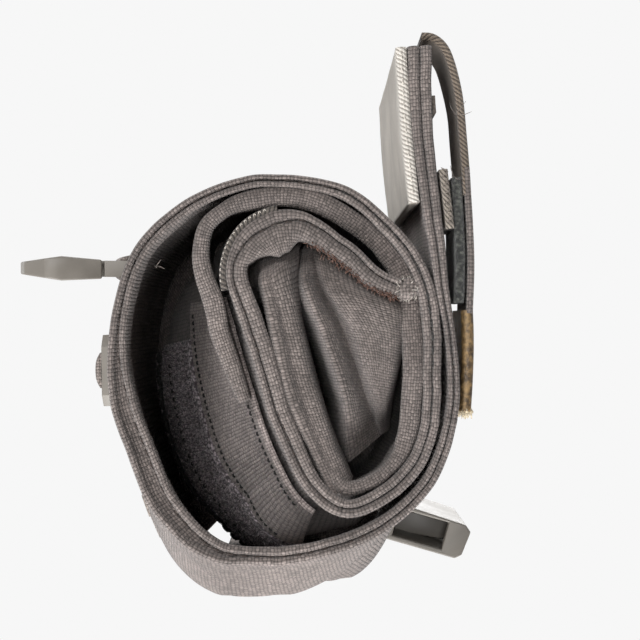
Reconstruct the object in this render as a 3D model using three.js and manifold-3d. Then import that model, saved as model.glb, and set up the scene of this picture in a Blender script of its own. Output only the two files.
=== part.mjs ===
// A rolled-up tourniquet lying on its side. The roll's axis runs along Y, its near rim is the
// lowest Y, and Z is up. Millimetres. The origin is the middle of the flat patch it rests on.
import * as THREE from 'three';
import Module from 'manifold-3d';
import { mergeVertices } from 'three/addons/utils/BufferGeometryUtils.js';

// Driving dimensions.
const BAND = { width: 76, hem: 3.2, thinHem: 2.0 }; // the wide doubled nylon band
const TAPE = { thickness: 1.2, gap: 0.6 }; // tapes sewn on the band
const WEB = { width: 25, thickness: 1.3 }; // webbing of the buckle strap
const PULL = { from: 2, to: 21 }; // the pull strap's edges along Y
const FULL_FLARE = { outer: 34, inner: 72, base: 54 }; // depths where the layers are widest and flattest
const REST = new THREE.Vector3(-13, 38, 0); // the middle of the resting patch, near rim at y = 0
const STRAP_Y = 57; // the middle of the buckle strap
const MALE = { pivot: [-42, STRAP_Y, 67.2], yaw: 10, roll: 2, width: 31 };
const FEMALE = { pivot: [7.2, 94.2, 11.7], tilt: 16, length: 28, width: 31, thickness: 9 };
const BAR_RADIUS = 1.5;
const SLIDER = { knot: 11.6, length: 15, width: 31, thickness: 2.6 };

const wasm = await Module();
wasm.setup();

const group = new THREE.Group();
const V2 = (x, z) => new THREE.Vector2(x, z);

const CLOTH = { color: 0x7d766f, roughness: 0.95, metalness: 0 };
const TRIM = { color: 0x9b958c, roughness: 0.95, metalness: 0 };
const PILE = { color: 0x6a645f, roughness: 1, metalness: 0 };
const HOOK = { color: 0x3f4442, roughness: 0.9, metalness: 0 };
const FILM = { color: 0x7a6440, roughness: 0.6, metalness: 0 };
const NYLON = { color: 0x847e76, roughness: 0.5, metalness: 0 };

function add(name, geometry, look, parent = group) {
  const mesh = new THREE.Mesh(geometry, new THREE.MeshStandardMaterial(look));
  mesh.name = name;
  parent.add(mesh);
  return mesh;
}

// ---- Solids from closed outlines, joined and cut with manifold-3d.

function toSolid(geometry) {
  const bare = geometry.clone();
  bare.deleteAttribute('normal');
  bare.deleteAttribute('uv');
  const merged = mergeVertices(bare, 1e-4);
  return new wasm.Manifold(new wasm.Mesh({
    numProp: 3,
    vertProperties: new Float32Array(merged.attributes.position.array),
    triVerts: new Uint32Array(merged.index.array),
  }));
}

function toGeometry(solid) {
  const mesh = solid.getMesh();
  const geometry = new THREE.BufferGeometry();
  geometry.setAttribute('position', new THREE.BufferAttribute(mesh.vertProperties, 3));
  geometry.setIndex(new THREE.BufferAttribute(mesh.triVerts, 1));
  return geometry;
}

function box(x0, x1, y0, y1, z0, z1) {
  const geometry = new THREE.BoxGeometry(x1 - x0, y1 - y0, z1 - z0);
  return geometry.translate((x0 + x1) / 2, (y0 + y1) / 2, (z0 + z1) / 2);
}

// An outline in plan, [x, y] points, given a height from z0 to z1.
function plan(points, z0, z1) {
  const shape = new THREE.Shape(points.map(([x, y]) => V2(x, y)));
  return new THREE.ExtrudeGeometry(shape, { depth: z1 - z0, bevelEnabled: false }).translate(0, 0, z0);
}

// A side outline, [x, z] points, given a width from y0 to y1.
function side(points, y0, y1) {
  const shape = new THREE.Shape(points.map(([x, z]) => V2(x, z)));
  const geometry = new THREE.ExtrudeGeometry(shape, { depth: y1 - y0, bevelEnabled: false });
  return geometry.rotateX(Math.PI / 2).translate(0, y1, 0);
}

function roundBar(radius, halfWidth, x, z) {
  return new THREE.CylinderGeometry(radius, radius, 2 * halfWidth, 16).translate(x, 0, z);
}

// ---- Cloth: a segmented slab bent along a course that may widen with depth.

const spline = (points) => new THREE.SplineCurve(points.map(([x, z]) => V2(x, z)));

// A course is two curves with matching control points, at the near rim and at full flare, and may have
// a third for where it is flattest. Where it lies on the ground it runs level.
function course(near, far = near, flare = FULL_FLARE.outer, { ground = -Infinity, flat = far } = {}) {
  return { ground, near: spline(near), far: spline(far), flat: spline(flat), last: near.length - 1, flare };
}

// The point on a course at a knot and depth, and the same moved outwards by an offset.
function onCourse(path, knot, y) {
  const t = THREE.MathUtils.clamp(knot / path.last, 0, 1);
  const { smoothstep } = THREE.MathUtils;
  const spot = path.near.getPoint(t).lerp(path.far.getPoint(t), smoothstep(y, 0, path.flare));
  spot.lerp(path.flat.getPoint(t), smoothstep(y, path.flare, FULL_FLARE.base));
  spot.y = Math.max(spot.y, path.ground + BAND.hem / 2);
  return spot;
}

function offCourse(path, knot, y, offset) {
  const nudge = 0.02;
  const middle = onCourse(path, knot, y);
  const heading = onCourse(path, knot + nudge, y).sub(onCourse(path, knot - nudge, y)).normalize();
  return V2(middle.x - heading.y * offset, middle.y + heading.x * offset);
}

// thickness is a number, or a function of the knot.
function cloth(path, { from = 0, to = path.last, y = [0, BAND.width], thickness, offset = 0,
  perKnot = 4, rows = 8 }) {
  const steps = Math.max(1, Math.round((to - from) * perKnot));
  const geometry = new THREE.BoxGeometry(1, 1, 1, steps, rows, 1);
  const spot = geometry.attributes.position;
  const thicknessAt = typeof thickness === 'function' ? thickness : () => thickness;
  for (let i = 0; i < spot.count; i += 1) {
    const knot = THREE.MathUtils.lerp(from, to, spot.getX(i) + 0.5);
    const depth = THREE.MathUtils.lerp(y[0], y[1], spot.getY(i) + 0.5);
    const place = offCourse(path, knot, depth, offset + spot.getZ(i) * thicknessAt(knot));
    spot.setXYZ(i, place.x, depth, Math.max(place.y, path.ground));
  }
  return geometry;
}

// ---- The band: outer wrap, second wrap and inner wrap of one long rolled strip.

const OUTER_FAR = [[22, 58.6], [22.6, 50.6], [22.8, 41.6], [21.4, 32.5], [18.6, 24], [12.5, 14.5], [3.5, 5.6],
  [-7.6, 0.6], [-19.5, 0.8], [-29, 8], [-35.6, 24], [-38.4, 38], [-38.8, 50], [-36.9, 60], [-33.2, 69],
  [-26, 76], [-17.5, 80.2], [-9, 81.6], [2, 80.1]];
const OUTER_FLAT = OUTER_FAR.with(5, [14.6, 11.2]).with(6, [7, 1.5]);
const OUTER = course(
  [[22.7, 58.6], [23.7, 50.6], [23.9, 41.6], [22.2, 33], [18.4, 25.4], [11.2, 18.9], [1.8, 14.8], [-9, 13.2],
    [-18.9, 14.6], [-26.3, 21.6], [-31.2, 31.7], [-34.6, 41.6], [-36.2, 50.6], [-35.4, 59.6], [-32, 68.4],
    [-25.4, 75.2], [-17.1, 79.4], [-9, 80.9], [2, 79.6]],
  OUTER_FAR,
  FULL_FLARE.outer,
  { ground: 0, flat: OUTER_FLAT },
);
const SECOND = course(
  [[3.8, 78.8], [11.4, 73.2], [17, 66.4], [19.9, 57.8], [20.5, 47], [19.8, 36.6], [16.6, 28.9], [10.4, 23.6],
    [5.6, 21.9]],
  [[3.8, 79.2], [11.2, 73.4], [16.6, 66.4], [19, 57.8], [19.3, 47], [18.5, 35.5], [15.1, 27.2], [9.6, 18.6],
    [4.4, 14.2]],
);
const INNER = course(
  [[2.9, 22], [-1.6, 26.4], [-5.6, 34.4], [-9, 44.6], [-12.3, 55.2], [-14.8, 64.6], [-11.6, 71.4],
    [-3.8, 73.6], [4.2, 69.2], [9.6, 64.6], [14.6, 62.2]],
  [[1.4, 12.8], [-13.2, 9.4], [-26.2, 19.4], [-32, 34.6], [-33, 49.6], [-29.2, 62], [-20, 71], [-9.6, 74.2],
    [4.2, 69], [9.6, 64.4], [14.4, 62]],
  FULL_FLARE.inner,
);
const OUTER_START = 2.4; // the knot where the peeling tab ends and the wrap begins
const SPLIT = { outer: 9.5, inner: 5, gap: 0.04 }; // knots where a wrap is divided into two nodes
const HEM_GROWS_TO = 5; // the knot where the outer wrap's hem has its full thickness

function band() {
  const { lerp, smoothstep } = THREE.MathUtils;
  const outerHem = (knot) => lerp(BAND.thinHem, BAND.hem, smoothstep(knot, 0, HEM_GROWS_TO));
  const { outer, inner, gap } = SPLIT;
  add('band_outer_base', cloth(OUTER, { from: OUTER_START, to: outer, thickness: outerHem }), CLOTH);
  add('band_outer_crest', cloth(OUTER, { from: outer + gap, thickness: BAND.hem }), CLOTH);
  add('band_second_wrap', cloth(SECOND, { thickness: BAND.hem }), CLOTH);
  add('band_inner_rise', cloth(INNER, { to: inner, thickness: BAND.hem }), CLOTH);
  add('band_inner_crest', cloth(INNER, { from: inner + gap, thickness: BAND.hem }), CLOTH);
}

// ---- The loose single layers inside the roll.

const LAYER = { single: 1.2, rolled: 1.6, from: 0.6, to: 60 }; // thicknesses, and the edges along Y
const FOLD_FLARE = 40;
const FOLDS = {
  core_fold_left: {
    near: [[-10, 65.4], [-8.6, 61.4], [-6.3, 54.2], [-4.5, 48.8], [-2.9, 43.4], [-0.5, 35.6], [1.2, 30.4],
      [2.4, 28]],
    far: [[-15.5, 64.4], [-14.6, 61.4], [-12.8, 54.2], [-11, 48.8], [-9.2, 43.4], [-6.5, 35.6], [-3.5, 30.4],
      [-1.4, 28]],
    thickness: LAYER.rolled,
  },
  core_fold_middle: {
    near: [[-2.2, 67.4], [-0.8, 61], [1.4, 54.4], [3.6, 48.6], [5.2, 42.4], [5.8, 36.4], [6.8, 32.4],
      [8.8, 32.8], [9.2, 37.4], [8.6, 42.4], [6.8, 48.4], [4.6, 54.6], [2.4, 60.6], [1, 66]],
    far: [[-7, 67.4], [-7.2, 61], [-6, 54.4], [-4.2, 48.6], [-2.6, 42.4], [-1.6, 36.4], [0, 32.2],
      [2.4, 32.6], [2.4, 37.4], [1.4, 42.4], [-0.4, 48.4], [-2.6, 54.6], [-3.6, 60.6], [-3.8, 66]],
    thickness: LAYER.single,
  },
  core_pleat: {
    near: [[3.6, 65.4], [5.6, 59], [8.2, 51], [10.3, 44], [11.2, 39], [12.4, 39.6], [12.9, 45], [13.6, 51.6],
      [14.4, 57]],
    far: [[1, 65.2], [2, 59], [3.8, 51], [5.4, 44], [6.8, 37.6], [9, 38], [9.4, 45], [10.2, 51.6],
      [11.4, 57]],
    thickness: LAYER.single,
  },
  core_right_layer: {
    near: [[17, 57.4], [16.9, 52], [16.9, 46.4], [16.5, 40.5], [15.3, 34], [12.6, 29.2], [8.6, 26.8],
      [5.2, 26.2]],
    far: [[15.8, 57.4], [15.8, 52], [15.6, 46.4], [15, 40.5], [13.6, 34], [11, 28.6], [7.2, 25.2],
      [3.4, 24.4]],
    thickness: LAYER.rolled,
  },
};

// Loose cloth tucked across the roll near its far rim: inside the inner wrap, as an outline in [x, z],
// and between the outer and inner wraps, from one to the other over a stretch of their knots.
const CORE_TUCK = {
  y: [62, 63.6],
  outline: [[12, 27.6], [15, 36], [15.8, 47], [15, 56], [12.6, 59.4], [8.4, 61.6], [3, 66.4], [-4, 70.2],
    [-10, 70.6], [-18, 66.6], [-24.6, 60], [-27.6, 49.6], [-26.4, 36.6], [-22, 23.6], [-11, 14.2],
    [0, 17], [7, 20.8]],
};
const CRESCENT_TUCK = { y: [72.6, 74.2], outer: [10.4, 17.6], inner: [2.8, 7.4], steps: 20, gap: 0.5 };
const LINING_TOP = course([[12.8, 67.2], [9, 71.2], [5.4, 73.6], [0.8, 75.8], [-5.2, 77.3]]);
const LINING_FOLD = course(
  [[-6.6, 77.5], [-12.4, 77.1], [-17.2, 75.6], [-20.6, 72.8], [-21.6, 68.6], [-21, 64.4], [-19.3, 59.6],
    [-18, 54]],
);
const LINING_FOLD_TO = 8; // its edge along Y

function crescentTuck() {
  const { y, outer, inner, steps, gap } = CRESCENT_TUCK;
  const clear = BAND.hem / 2 + gap;
  const edge = (path, [from, to], offset) => Array.from({ length: steps + 1 }, (_, i) => {
    const spot = offCourse(path, THREE.MathUtils.lerp(from, to, i / steps), y[0], offset);
    return [spot.x, spot.y];
  });
  return side([...edge(INNER, inner, clear), ...edge(OUTER, outer, -clear).reverse()], ...y);
}

function innerLayers() {
  const layer = { y: [LAYER.from, LAYER.to], thickness: LAYER.single, perKnot: 3 };
  for (const [name, { near, far, thickness }] of Object.entries(FOLDS)) {
    add(name, cloth(course(near, far, FOLD_FLARE), { ...layer, thickness, rows: 4 }), CLOTH);
  }
  add('core_tuck', side(CORE_TUCK.outline.toReversed(), ...CORE_TUCK.y), CLOTH);
  add('crescent_tuck', crescentTuck(), CLOTH);
  add('lining_top', cloth(LINING_TOP, { ...layer, rows: 1 }), CLOTH);
  add('lining_fold', cloth(LINING_FOLD, { ...layer, rows: 1, y: [LAYER.from, LINING_FOLD_TO] }), CLOTH);
}

// ---- Tapes and webbing sewn on the outer face of the inner wrap.

const ON_HEM = (BAND.hem + TAPE.thickness) / 2 + TAPE.gap;

function innerTapes() {
  const tape = { thickness: TAPE.thickness, offset: ON_HEM, rows: 4 };
  add('load_strap', cloth(INNER, { ...tape, from: 0.5, to: 4.6, y: [12, 37] }), TRIM);
  add('loop_tape_wide', cloth(INNER, { ...tape, from: 0.5, to: 3.75, y: [39, 58] }), PILE);
  add('loop_tape_narrow', cloth(INNER, { ...tape, from: 0.5, to: 3.5, y: [60, 72] }), PILE);
  add('inner_edge_tape', cloth(INNER, { ...tape, from: 4.75, to: 5.75, y: [0.5, 25] }), HOOK);
}

// ---- The tab that stands up from the roll, and what is sewn on it.

// It runs on into the outer wrap's first stretch, down to the line where it peels away.
const TAB = course(
  [[18, 105.4], [18.6, 93.8], [19.7, 83], [21, 72.2], [22.3, 62], [23.7, 50.6], [23.9, 41.6], [22.2, 33]],
  [[18, 105.4], [18.6, 93.8], [19.7, 83], [21, 72.2], [22, 62], [22.6, 50.6], [22.8, 41.6], [21.4, 32.5]],
);
const TAB_END = 6.3;
const tabHem = (knot) => THREE.MathUtils.lerp(BAND.hem, BAND.thinHem, Math.min(knot / 3, 1));

function tab() {
  add('band_tab', cloth(TAB, { to: TAB_END, thickness: tabHem }), CLOTH);
  add('tab_facing_tape', cloth(TAB, { from: 0, to: 2.5, thickness: 1.5, offset: -2.75, rows: 1,
    y: [0, BAND.width - 1] }), TRIM);
  add('tab_knit_patch', cloth(TAB, { from: 2, to: 3, thickness: TAPE.thickness, offset: 2.3, rows: 1,
    y: [1, PULL.to] }), TRIM);
  add('tab_bartack', cloth(TAB, { from: 0.75, to: 1, thickness: 0.6, offset: 2.2, rows: 1,
    y: [4, PULL.to] }), TRIM);
}

// ---- The pull strap: a ribbon loop over the tab's top that comes down in a hook-faced closure.

const LOOP = course([[18.4, 107.3], [20.6, 107], [22.7, 104.8], [24.2, 100], [25.2, 95.2], [25.7, 89.6],
  [26.1, 84.6]]);
const FLAP = course([[26.4, 84], [26.8, 77], [27, 68], [26.8, 58.4]]);
const CLOSURE = course([[26.8, 57.8], [26.9, 51], [26.7, 44], [26.4, 39.4]]);

function pullStrap() {
  const across = { y: [PULL.from, PULL.to], rows: 1 };
  add('pull_loop', cloth(LOOP, { ...across, thickness: 2, perKnot: 3 }), TRIM);
  add('hook_backing', cloth(FLAP, { ...across, thickness: 1.3 }), CLOTH);
  add('hook_tape', cloth(FLAP, { ...across, from: 0.25, to: 3, thickness: 1.6, offset: -1.8 }),
    HOOK);
  add('closure_film', cloth(CLOSURE, { ...across, thickness: 2.2, perKnot: 2 }), FILM);
}

// ---- The buckle strap: webbing down the left wall, with a slider on it.

const ON_WALL = (BAND.hem + WEB.thickness) / 2 + 0.4;
const WEB_EDGES = [STRAP_Y - WEB.width / 2, STRAP_Y + WEB.width / 2];

function buckleStrap() {
  add('buckle_strap', cloth(OUTER, { from: 9.25, to: 13.25, thickness: WEB.thickness, offset: ON_WALL,
    y: WEB_EDGES, rows: 1 }), TRIM);
  add('strap_bartack', cloth(OUTER, { from: 9.5, to: 9.75, thickness: 0.6, offset: ON_WALL + 1.3,
    y: [WEB_EDGES[0] + 2, WEB_EDGES[1] - 2], rows: 1 }), TRIM);
}

// A three-bar slider lying flat in local XY: X across the webbing, Y along it.
function sliderPlate() {
  const { length, width, thickness } = SLIDER;
  const slot = { long: width / 2 - 2.6, near: 1.3, far: length / 2 - 1.9 };
  const corner = 2.4;
  const [hw, hl] = [width / 2, length / 2];
  const outline = [[-hw + corner, -hl], [hw - corner, -hl], [hw, -hl + corner], [hw, hl - corner],
    [hw - corner, hl], [-hw + corner, hl], [-hw, hl - corner], [-hw, -hl + corner]];
  let plate = toSolid(plan(outline, 0, thickness));
  for (const way of [-1, 1]) {
    const [low, high] = [way * slot.near, way * slot.far].sort((a, b) => a - b);
    plate = plate.subtract(toSolid(box(-slot.long, slot.long, low, high, -1, thickness + 1)));
  }
  return toGeometry(plate);
}

function slider() {
  const y = STRAP_Y;
  const wall = onCourse(OUTER, SLIDER.knot, y);
  const up = onCourse(OUTER, SLIDER.knot + 0.3, y).sub(onCourse(OUTER, SLIDER.knot - 0.3, y)).normalize();
  const lift = ON_WALL + WEB.thickness / 2 + 0.8;
  const holder = new THREE.Group();
  const across = new THREE.Vector3(0, -1, 0);
  const along = new THREE.Vector3(up.x, 0, up.y);
  const outward = new THREE.Vector3(-up.y, 0, up.x);
  holder.setRotationFromMatrix(new THREE.Matrix4().makeBasis(across, along, outward));
  holder.position.set(wall.x, y, wall.y).addScaledVector(outward, lift);
  group.add(holder);
  add('strap_slider', sliderPlate(), NYLON, holder);
  const hump = course([[-3.6, SLIDER.thickness + 0.2], [-1.6, SLIDER.thickness + 1.1],
    [1.6, SLIDER.thickness + 1.1], [3.6, SLIDER.thickness + 0.2]]);
  const web = cloth(hump, { thickness: WEB.thickness, y: [-WEB.width / 2 + 0.5, WEB.width / 2 - 0.5],
    rows: 1 });
  add('slider_webbing', web.rotateZ(Math.PI / 2), TRIM, holder);
}

// ---- The male half, pointing to -X from its webbing bar.

// An arm seen from the side: thickest in the middle, blunt at the tip.
const PRONG = [[-23, -1.2], [-14.5, -2.5], [-6, -2.1], [-6, 1.9], [-14.5, 2.6], [-23, 1.3]];

function maleFrame() {
  const half = MALE.width / 2;
  const parts = [
    box(-8.6, -4.6, -8.2, 8.2, -1.7, 1.7), // crossbar
    box(-5.6, -4.6, -half, half, -1.7, 1.7),
    box(-5.6, 1.4, -half, -half + 2.4, -1.7, 1.7), // side rails
    box(-5.6, 1.4, half - 2.4, half, -1.7, 1.7),
    roundBar(BAR_RADIUS, half - 1.5, 0, 0),
    plan([[-8, -3.2], [-8, 3.2], [-17, 2.2], [-19.4, 1], [-19.4, -1], [-17, -2.2]], -1, 1), // centre tongue
  ];
  return toGeometry(parts.map(toSolid).reduce((body, part) => body.add(part)));
}

// One sprung arm with its barb; way is -1 for the near side, 1 for the far side.
function maleArm(way) {
  const outline = [[-6.1, 9], [-6.1, 13.2], [-12.6, 14.6], [-16.4, 15.5], [-18, 15.2], [-22.2, 12],
    [-23, 9.4], [-22, 8.6], [-16.4, 10.6], [-11, 10.2], [-9, 9]];
  const points = outline.map(([x, y]) => [x, way * y]);
  const slab = toSolid(plan(way > 0 ? points.reverse() : points, -4, 4));
  return toGeometry(slab.intersect(toSolid(side(PRONG, -16, 16))));
}

function maleHalf() {
  const half = new THREE.Group();
  half.position.set(...MALE.pivot);
  half.rotation.set(THREE.MathUtils.degToRad(MALE.roll), 0, THREE.MathUtils.degToRad(MALE.yaw), 'ZYX');
  group.add(half);
  add('male_frame', maleFrame(), NYLON, half);
  add('male_arm_near', maleArm(-1), NYLON, half);
  add('male_arm_far', maleArm(1), NYLON, half);
  const webLoop = course([[2.2, -2.5], [0.4, -2.5], [-1.8, -1.8], [-2.6, 0], [-1.8, 1.8], [0.4, 2.5],
    [2.2, 2.5]]);
  add('male_strap_loop', cloth(webLoop, { thickness: 1, y: [-11.8, 11.8], rows: 1 }), TRIM, half);
}

// ---- The female half, pointing to +X from its webbing bar, its mouth resting on the ground.

function femaleShell() {
  const { length, width, thickness } = FEMALE;
  const [half, high] = [width / 2, thickness / 2];
  const outline = [[-1.3, -high + 1.6], [2, -high + 0.6], [8, -high], [length - 1.4, -high],
    [length, -high + 1.2], [length + 0.6, high - 2], [length - 1, high - 0.7], [8, high], [2, high - 0.6],
    [-1.3, high - 1.6]];
  const wall = 1.25;
  let shell = toSolid(side(outline, -half, half));
  const cuts = [
    box(8, length + 5, -half + 2.2, half - 2.2, -high + wall, high - wall), // the mouth
    box(1.3, 6.6, -half + 2.4, half - 2.4, -9, 9), // webbing slot
    box(-4, 1.4, -half + 2.4, half - 2.4, 1.2, 9), // the bar is thinner than the shell
    box(-4, 1.4, -half + 2.4, half - 2.4, -9, -1.2),
    box(11, length - 5, -half - 1, half + 1, -high + wall, high - wall), // side windows
  ];
  for (const cut of cuts) shell = shell.subtract(toSolid(cut));
  return toGeometry(shell);
}

function femaleHalf() {
  const half = new THREE.Group();
  half.position.set(...FEMALE.pivot);
  half.rotation.y = THREE.MathUtils.degToRad(FEMALE.tilt);
  group.add(half);
  add('female_shell', femaleShell(), NYLON, half);
}

// The short strap that leaves the roll's far end and turns right to the female half.
function femaleStrap() {
  const [low, high] = [FEMALE.pivot[1] - WEB.width / 2, FEMALE.pivot[1] + WEB.width / 2];
  add('female_strap_root', cloth(OUTER, { from: 6.25, to: 8.25, thickness: WEB.thickness,
    offset: -ON_WALL, y: [60, low - 0.4], rows: 1 }), TRIM);
  const ramp = course([[-15, 4.2], [-8, 4], [-1.8, 5], [3.2, 9.6], [6.5, 8.9], [8.6, 9], [9.9, 10.6],
    [9.6, 12.9], [7.9, 14.2], [4.5, 15], [0.6, 13.8]]);
  add('female_strap_loop', cloth(ramp, { thickness: 1, y: [low + 0.6, high - 0.6], rows: 1 }), TRIM);
}

band();
innerLayers();
innerTapes();
tab();
pullStrap();
buckleStrap();
slider();
maleHalf();
femaleHalf();
femaleStrap();
group.position.copy(REST).negate();

const part = new THREE.Group();
part.add(group);
export default part;
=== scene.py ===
"""The looks of a rolled-up tourniquet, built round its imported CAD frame.

Lengths are millimetres in the roll's own axes, as in the part's source: X right, Y into the roll from
its near rim, Z up. place() turns them into metres in the part's frame.
"""

import math

import bmesh
import bpy
import numpy as np
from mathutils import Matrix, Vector


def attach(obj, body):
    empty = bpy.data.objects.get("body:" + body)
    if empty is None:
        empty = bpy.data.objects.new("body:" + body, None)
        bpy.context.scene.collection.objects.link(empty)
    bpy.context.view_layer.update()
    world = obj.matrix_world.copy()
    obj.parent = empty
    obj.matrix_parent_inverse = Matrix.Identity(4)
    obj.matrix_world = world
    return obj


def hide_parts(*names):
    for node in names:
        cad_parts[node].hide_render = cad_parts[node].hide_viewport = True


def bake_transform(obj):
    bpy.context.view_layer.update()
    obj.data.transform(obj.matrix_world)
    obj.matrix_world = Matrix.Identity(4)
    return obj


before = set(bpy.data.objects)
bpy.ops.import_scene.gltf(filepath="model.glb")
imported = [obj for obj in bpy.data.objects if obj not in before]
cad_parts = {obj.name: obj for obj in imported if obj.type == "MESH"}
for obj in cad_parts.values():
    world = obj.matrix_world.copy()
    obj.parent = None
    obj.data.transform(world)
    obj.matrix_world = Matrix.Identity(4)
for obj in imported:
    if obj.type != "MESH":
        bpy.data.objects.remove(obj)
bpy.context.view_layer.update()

MM = 0.001
REST = np.array([-13.0, 38.0, 0.0])  # the middle of the resting patch
BAND_WIDTH = 76.0
PALE = (0.93, 0.93, 0.93)
SEED = 20
FLOOR_GAP = 0.02  # cloth stays this far above the ground
TINY = 1e-12  # keeps a division by no length from failing


def place(points):
    return (np.asarray(points, float) - REST) * MM


def unit(v):
    """The direction of a vector, or of each of many."""
    return v / (np.linalg.norm(v, axis=-1, keepdims=True) + TINY)


def smoothstep(value, low, high):
    t = np.clip((np.asarray(value, float) - low) / (high - low), 0, 1)
    return t * t * (3 - 2 * t)


# ---- camera

CAMERA_PLACE = (0, -260, 56)
CAMERA_LENS = 81.25


def make_camera():
    data = bpy.data.cameras.new("camera")
    data.lens = CAMERA_LENS
    data.sensor_width = 36
    data.clip_start, data.clip_end = 0.01, 50
    camera = add_object("camera", data)
    camera.location = Vector(place(CAMERA_PLACE))
    camera.rotation_euler = (math.radians(90), 0, 0)
    bpy.context.scene.camera = camera


# ---- meshes


def make_object(name, points, faces, uv=None, material=None):
    """A smooth mesh object from points in roll millimetres; uv has one pair per face corner, in mm."""
    mesh = bpy.data.meshes.new(name)
    mesh.from_pydata(place(points).tolist(), [], faces)
    if uv is not None:
        layer = mesh.uv_layers.new(name="cloth")
        layer.data.foreach_set("uv", np.asarray(uv, np.float32).ravel())
    mesh.polygons.foreach_set("use_smooth", np.ones(len(mesh.polygons), bool))
    mesh.validate()
    mesh.materials.append(material)
    return add_object(name, mesh)


def add_object(name, data):
    obj = bpy.data.objects.new(name, data)
    bpy.context.scene.collection.objects.link(obj)
    return obj


def finish_piece(obj, body, nodes=()):
    """Say which body a piece rides (none for a blended one) and the nodes it replaces."""
    if body:
        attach(obj, body)
    if nodes:
        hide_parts(*nodes)


def outward(points, faces):
    """Whether the faces of a closed body look outward, which is when its volume is positive."""
    p = np.asarray(points, float)
    corners = [(face[0], face[k], face[k + 1]) for face in faces for k in range(1, len(face) - 1)]
    a, b, c = np.array(corners).T
    return np.einsum("ij,ij->i", p[a], np.cross(p[b], p[c])).sum() > 0


def lengths(points):
    """Distance from the first point, along a line of points or along many lines side by side."""
    steps = np.linalg.norm(np.diff(points, axis=0), axis=-1)
    return np.concatenate([np.zeros_like(steps[:1]), np.cumsum(steps, 0)])


def noise2(u, v, seed, size):
    """Smooth value noise from -1 to 1 over (u, v), with features about size across."""
    count = 64
    table = np.random.default_rng(SEED + seed).uniform(-1, 1, (count, count))
    a, b = np.asarray(u, float) / size, np.asarray(v, float) / size
    i, j = np.floor(a).astype(int), np.floor(b).astype(int)
    s, t = smoothstep(a - i, 0, 1), smoothstep(b - j, 0, 1)
    i0, i1, j0, j1 = i % count, (i + 1) % count, j % count, (j + 1) % count
    low = table[i0, j0] * (1 - s) + table[i1, j0] * s
    high = table[i0, j1] * (1 - s) + table[i1, j1] * s
    return low * (1 - t) + high * t


# ---- courses


def catmull(points, q):
    """Points at knots q on a uniform Catmull-Rom curve through the given points."""
    p = np.asarray(points, float)
    last = len(p) - 1
    q = np.clip(np.asarray(q, float), 0, last)
    i = np.clip(np.floor(q).astype(int), 0, last - 1)
    w = (q - i)[..., None]
    p0, p1 = p[np.maximum(i - 1, 0)], p[i]
    p2, p3 = p[i + 1], p[np.minimum(i + 2, last)]
    v0, v1 = (p2 - p0) / 2, (p3 - p1) / 2
    return (2 * (p1 - p2) + v0 + v1) * w**3 + (3 * (p2 - p1) - 2 * v0 - v1) * w**2 + v0 * w + p1


FLATTEST = (34, 54)  # the depths between which the roll's base settles flat
FINE_STEPS = 24  # the steps from knot to knot with which a course's length is measured


class Course:
    """Two section curves in (x, z) with matching knots: at the near rim, and at full flare.

    flare is the depth of full flare, as knots and values. flat gives the knots that lie elsewhere
    where the base is flattest, and no point lies below ground."""

    def __init__(self, near, far=None, flare=([0], [34]), ground=0.0, flat=None):
        self.near = np.array(near, float)
        self.far = self.near if far is None else np.array(far, float)
        self.flat = self.far.copy()
        for knot, spot in (flat or {}).items():
            self.flat[knot] = spot
        self.last = len(self.near) - 1
        self.flare = flare
        self.ground = ground
        fine = np.linspace(0, self.last, self.last * FINE_STEPS + 1)
        self.fine, self.length = fine, lengths(catmull(self.near, fine))

    def at(self, q, y):
        blend = smoothstep(np.asarray(y, float) / np.interp(q, *self.flare), 0, 1)[..., None]
        spot = catmull(self.near, q) * (1 - blend) + catmull(self.far, q) * blend
        flatten = smoothstep(y, *FLATTEST)[..., None]
        spot += (catmull(self.flat, q) - catmull(self.far, q)) * flatten
        spot[..., 1] = np.maximum(spot[..., 1], self.ground)
        return spot

    def normal(self, q, y):
        nudge = 0.03
        ahead = self.at(np.clip(q + nudge, 0, self.last), y)
        behind = self.at(np.clip(q - nudge, 0, self.last), y)
        heading = unit(ahead - behind)
        return np.stack([-heading[..., 1], heading[..., 0]], -1)

    def along(self, q):
        """Distance along the near curve at knots q."""
        return np.interp(q, self.fine, self.length)

    def knots(self, start, end, step):
        """Knots from start to end about step millimetres apart."""
        a, b = self.along(start), self.along(end)
        count = max(2, int(round(abs(b - a) / step)) + 1)
        return np.interp(np.linspace(a, b, count), self.length, self.fine)


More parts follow.
